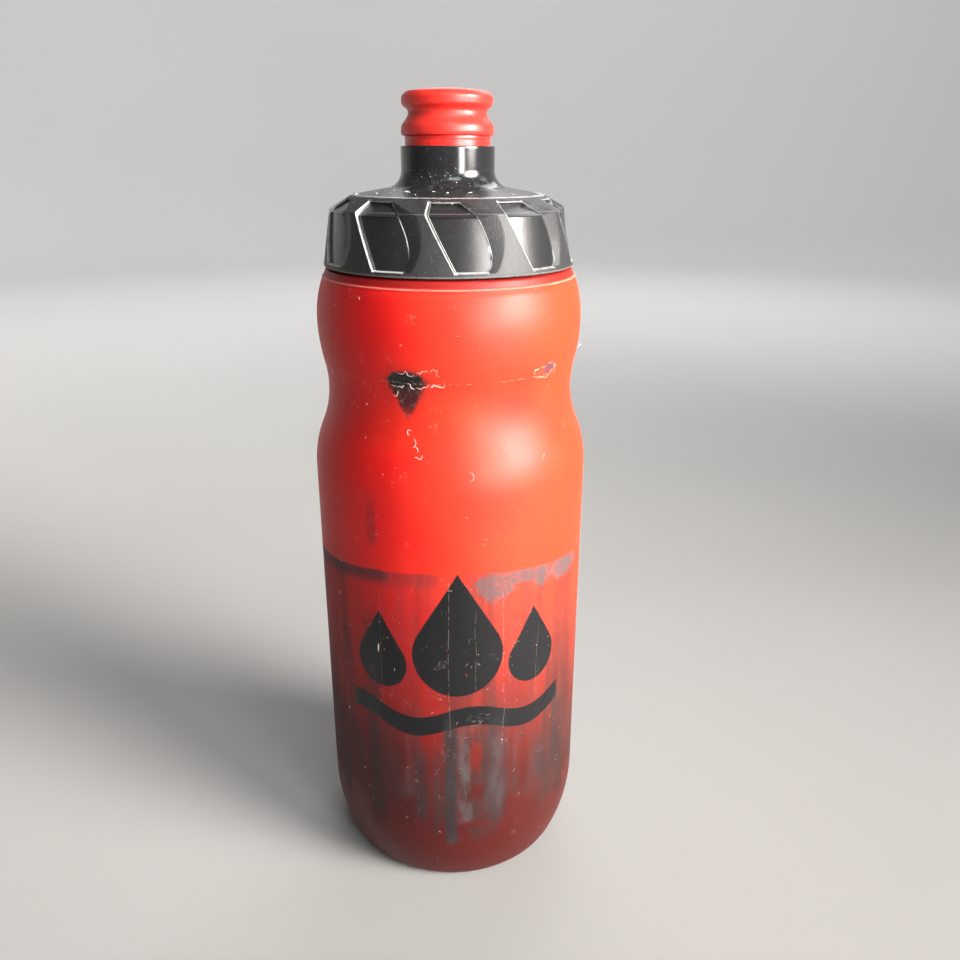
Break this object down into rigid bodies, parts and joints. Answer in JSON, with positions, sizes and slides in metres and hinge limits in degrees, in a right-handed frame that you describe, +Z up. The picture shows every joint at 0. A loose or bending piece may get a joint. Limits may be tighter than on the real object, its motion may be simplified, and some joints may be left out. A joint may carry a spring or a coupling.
{
  "type": "bicycle water bottle",
  "caption": "Soft squeezable water bottle with a waist, a screw cap with slanted grip pads and a push-pull drinking nozzle, for a bicycle bottle cage.",
  "frame": {"origin": "centre of the base plane, on the surface that the bottle stands on", "axes": "+Z up the bottle's axis, -Y towards the printed front, +X to the right of it"},
  "size_m": [0.0734, 0.0734, 0.2134],
  "materials": {
    "bottle_shell": "translucent red soft polyethylene, satin, scuffed and dusty, with a worn black print",
    "cap_plastic": "black moulded plastic, glossy pads between fine-textured ribs, worn edges",
    "gasket_rubber": "pale soft seal",
    "insert_plastic": "black moulded plastic",
    "stem_plastic": "red moulded plastic",
    "soft_nozzle": "satin red thermoplastic rubber",
    "seal_rubber": "black rubber"
  },
  "bodies": {
    "bottle": {"bottle_body": "bottle_shell"},
    "gasket": {"cap_gasket": "gasket_rubber"},
    "cap": {"screw_cap": "cap_plastic", "valve_insert": "insert_plastic"},
    "nozzle": {"nozzle_stem": "stem_plastic", "mouthpiece": "soft_nozzle", "nozzle_seal": "seal_rubber"}
  },
  "joints": [
    {"name": "cap_lift", "type": "slide", "parent": "bottle", "child": "gasket", "axis": [0, 0, 1], "range_m": [0, 0.015]},
    {"name": "cap_turn", "type": "hinge", "parent": "gasket", "child": "cap", "pos_m": [0, 0, 0.1723], "axis": [0, 0, 1], "range_deg": [0, 1080]},
    {"name": "nozzle_pull", "type": "slide", "parent": "cap", "child": "nozzle", "axis": [0, 0, 1], "range_m": [0, 0.005]}
  ],
  "couplings": [
    {"joint": "cap_lift", "follows": "cap_turn", "m_per_rad": 0.00079577}
  ]
}
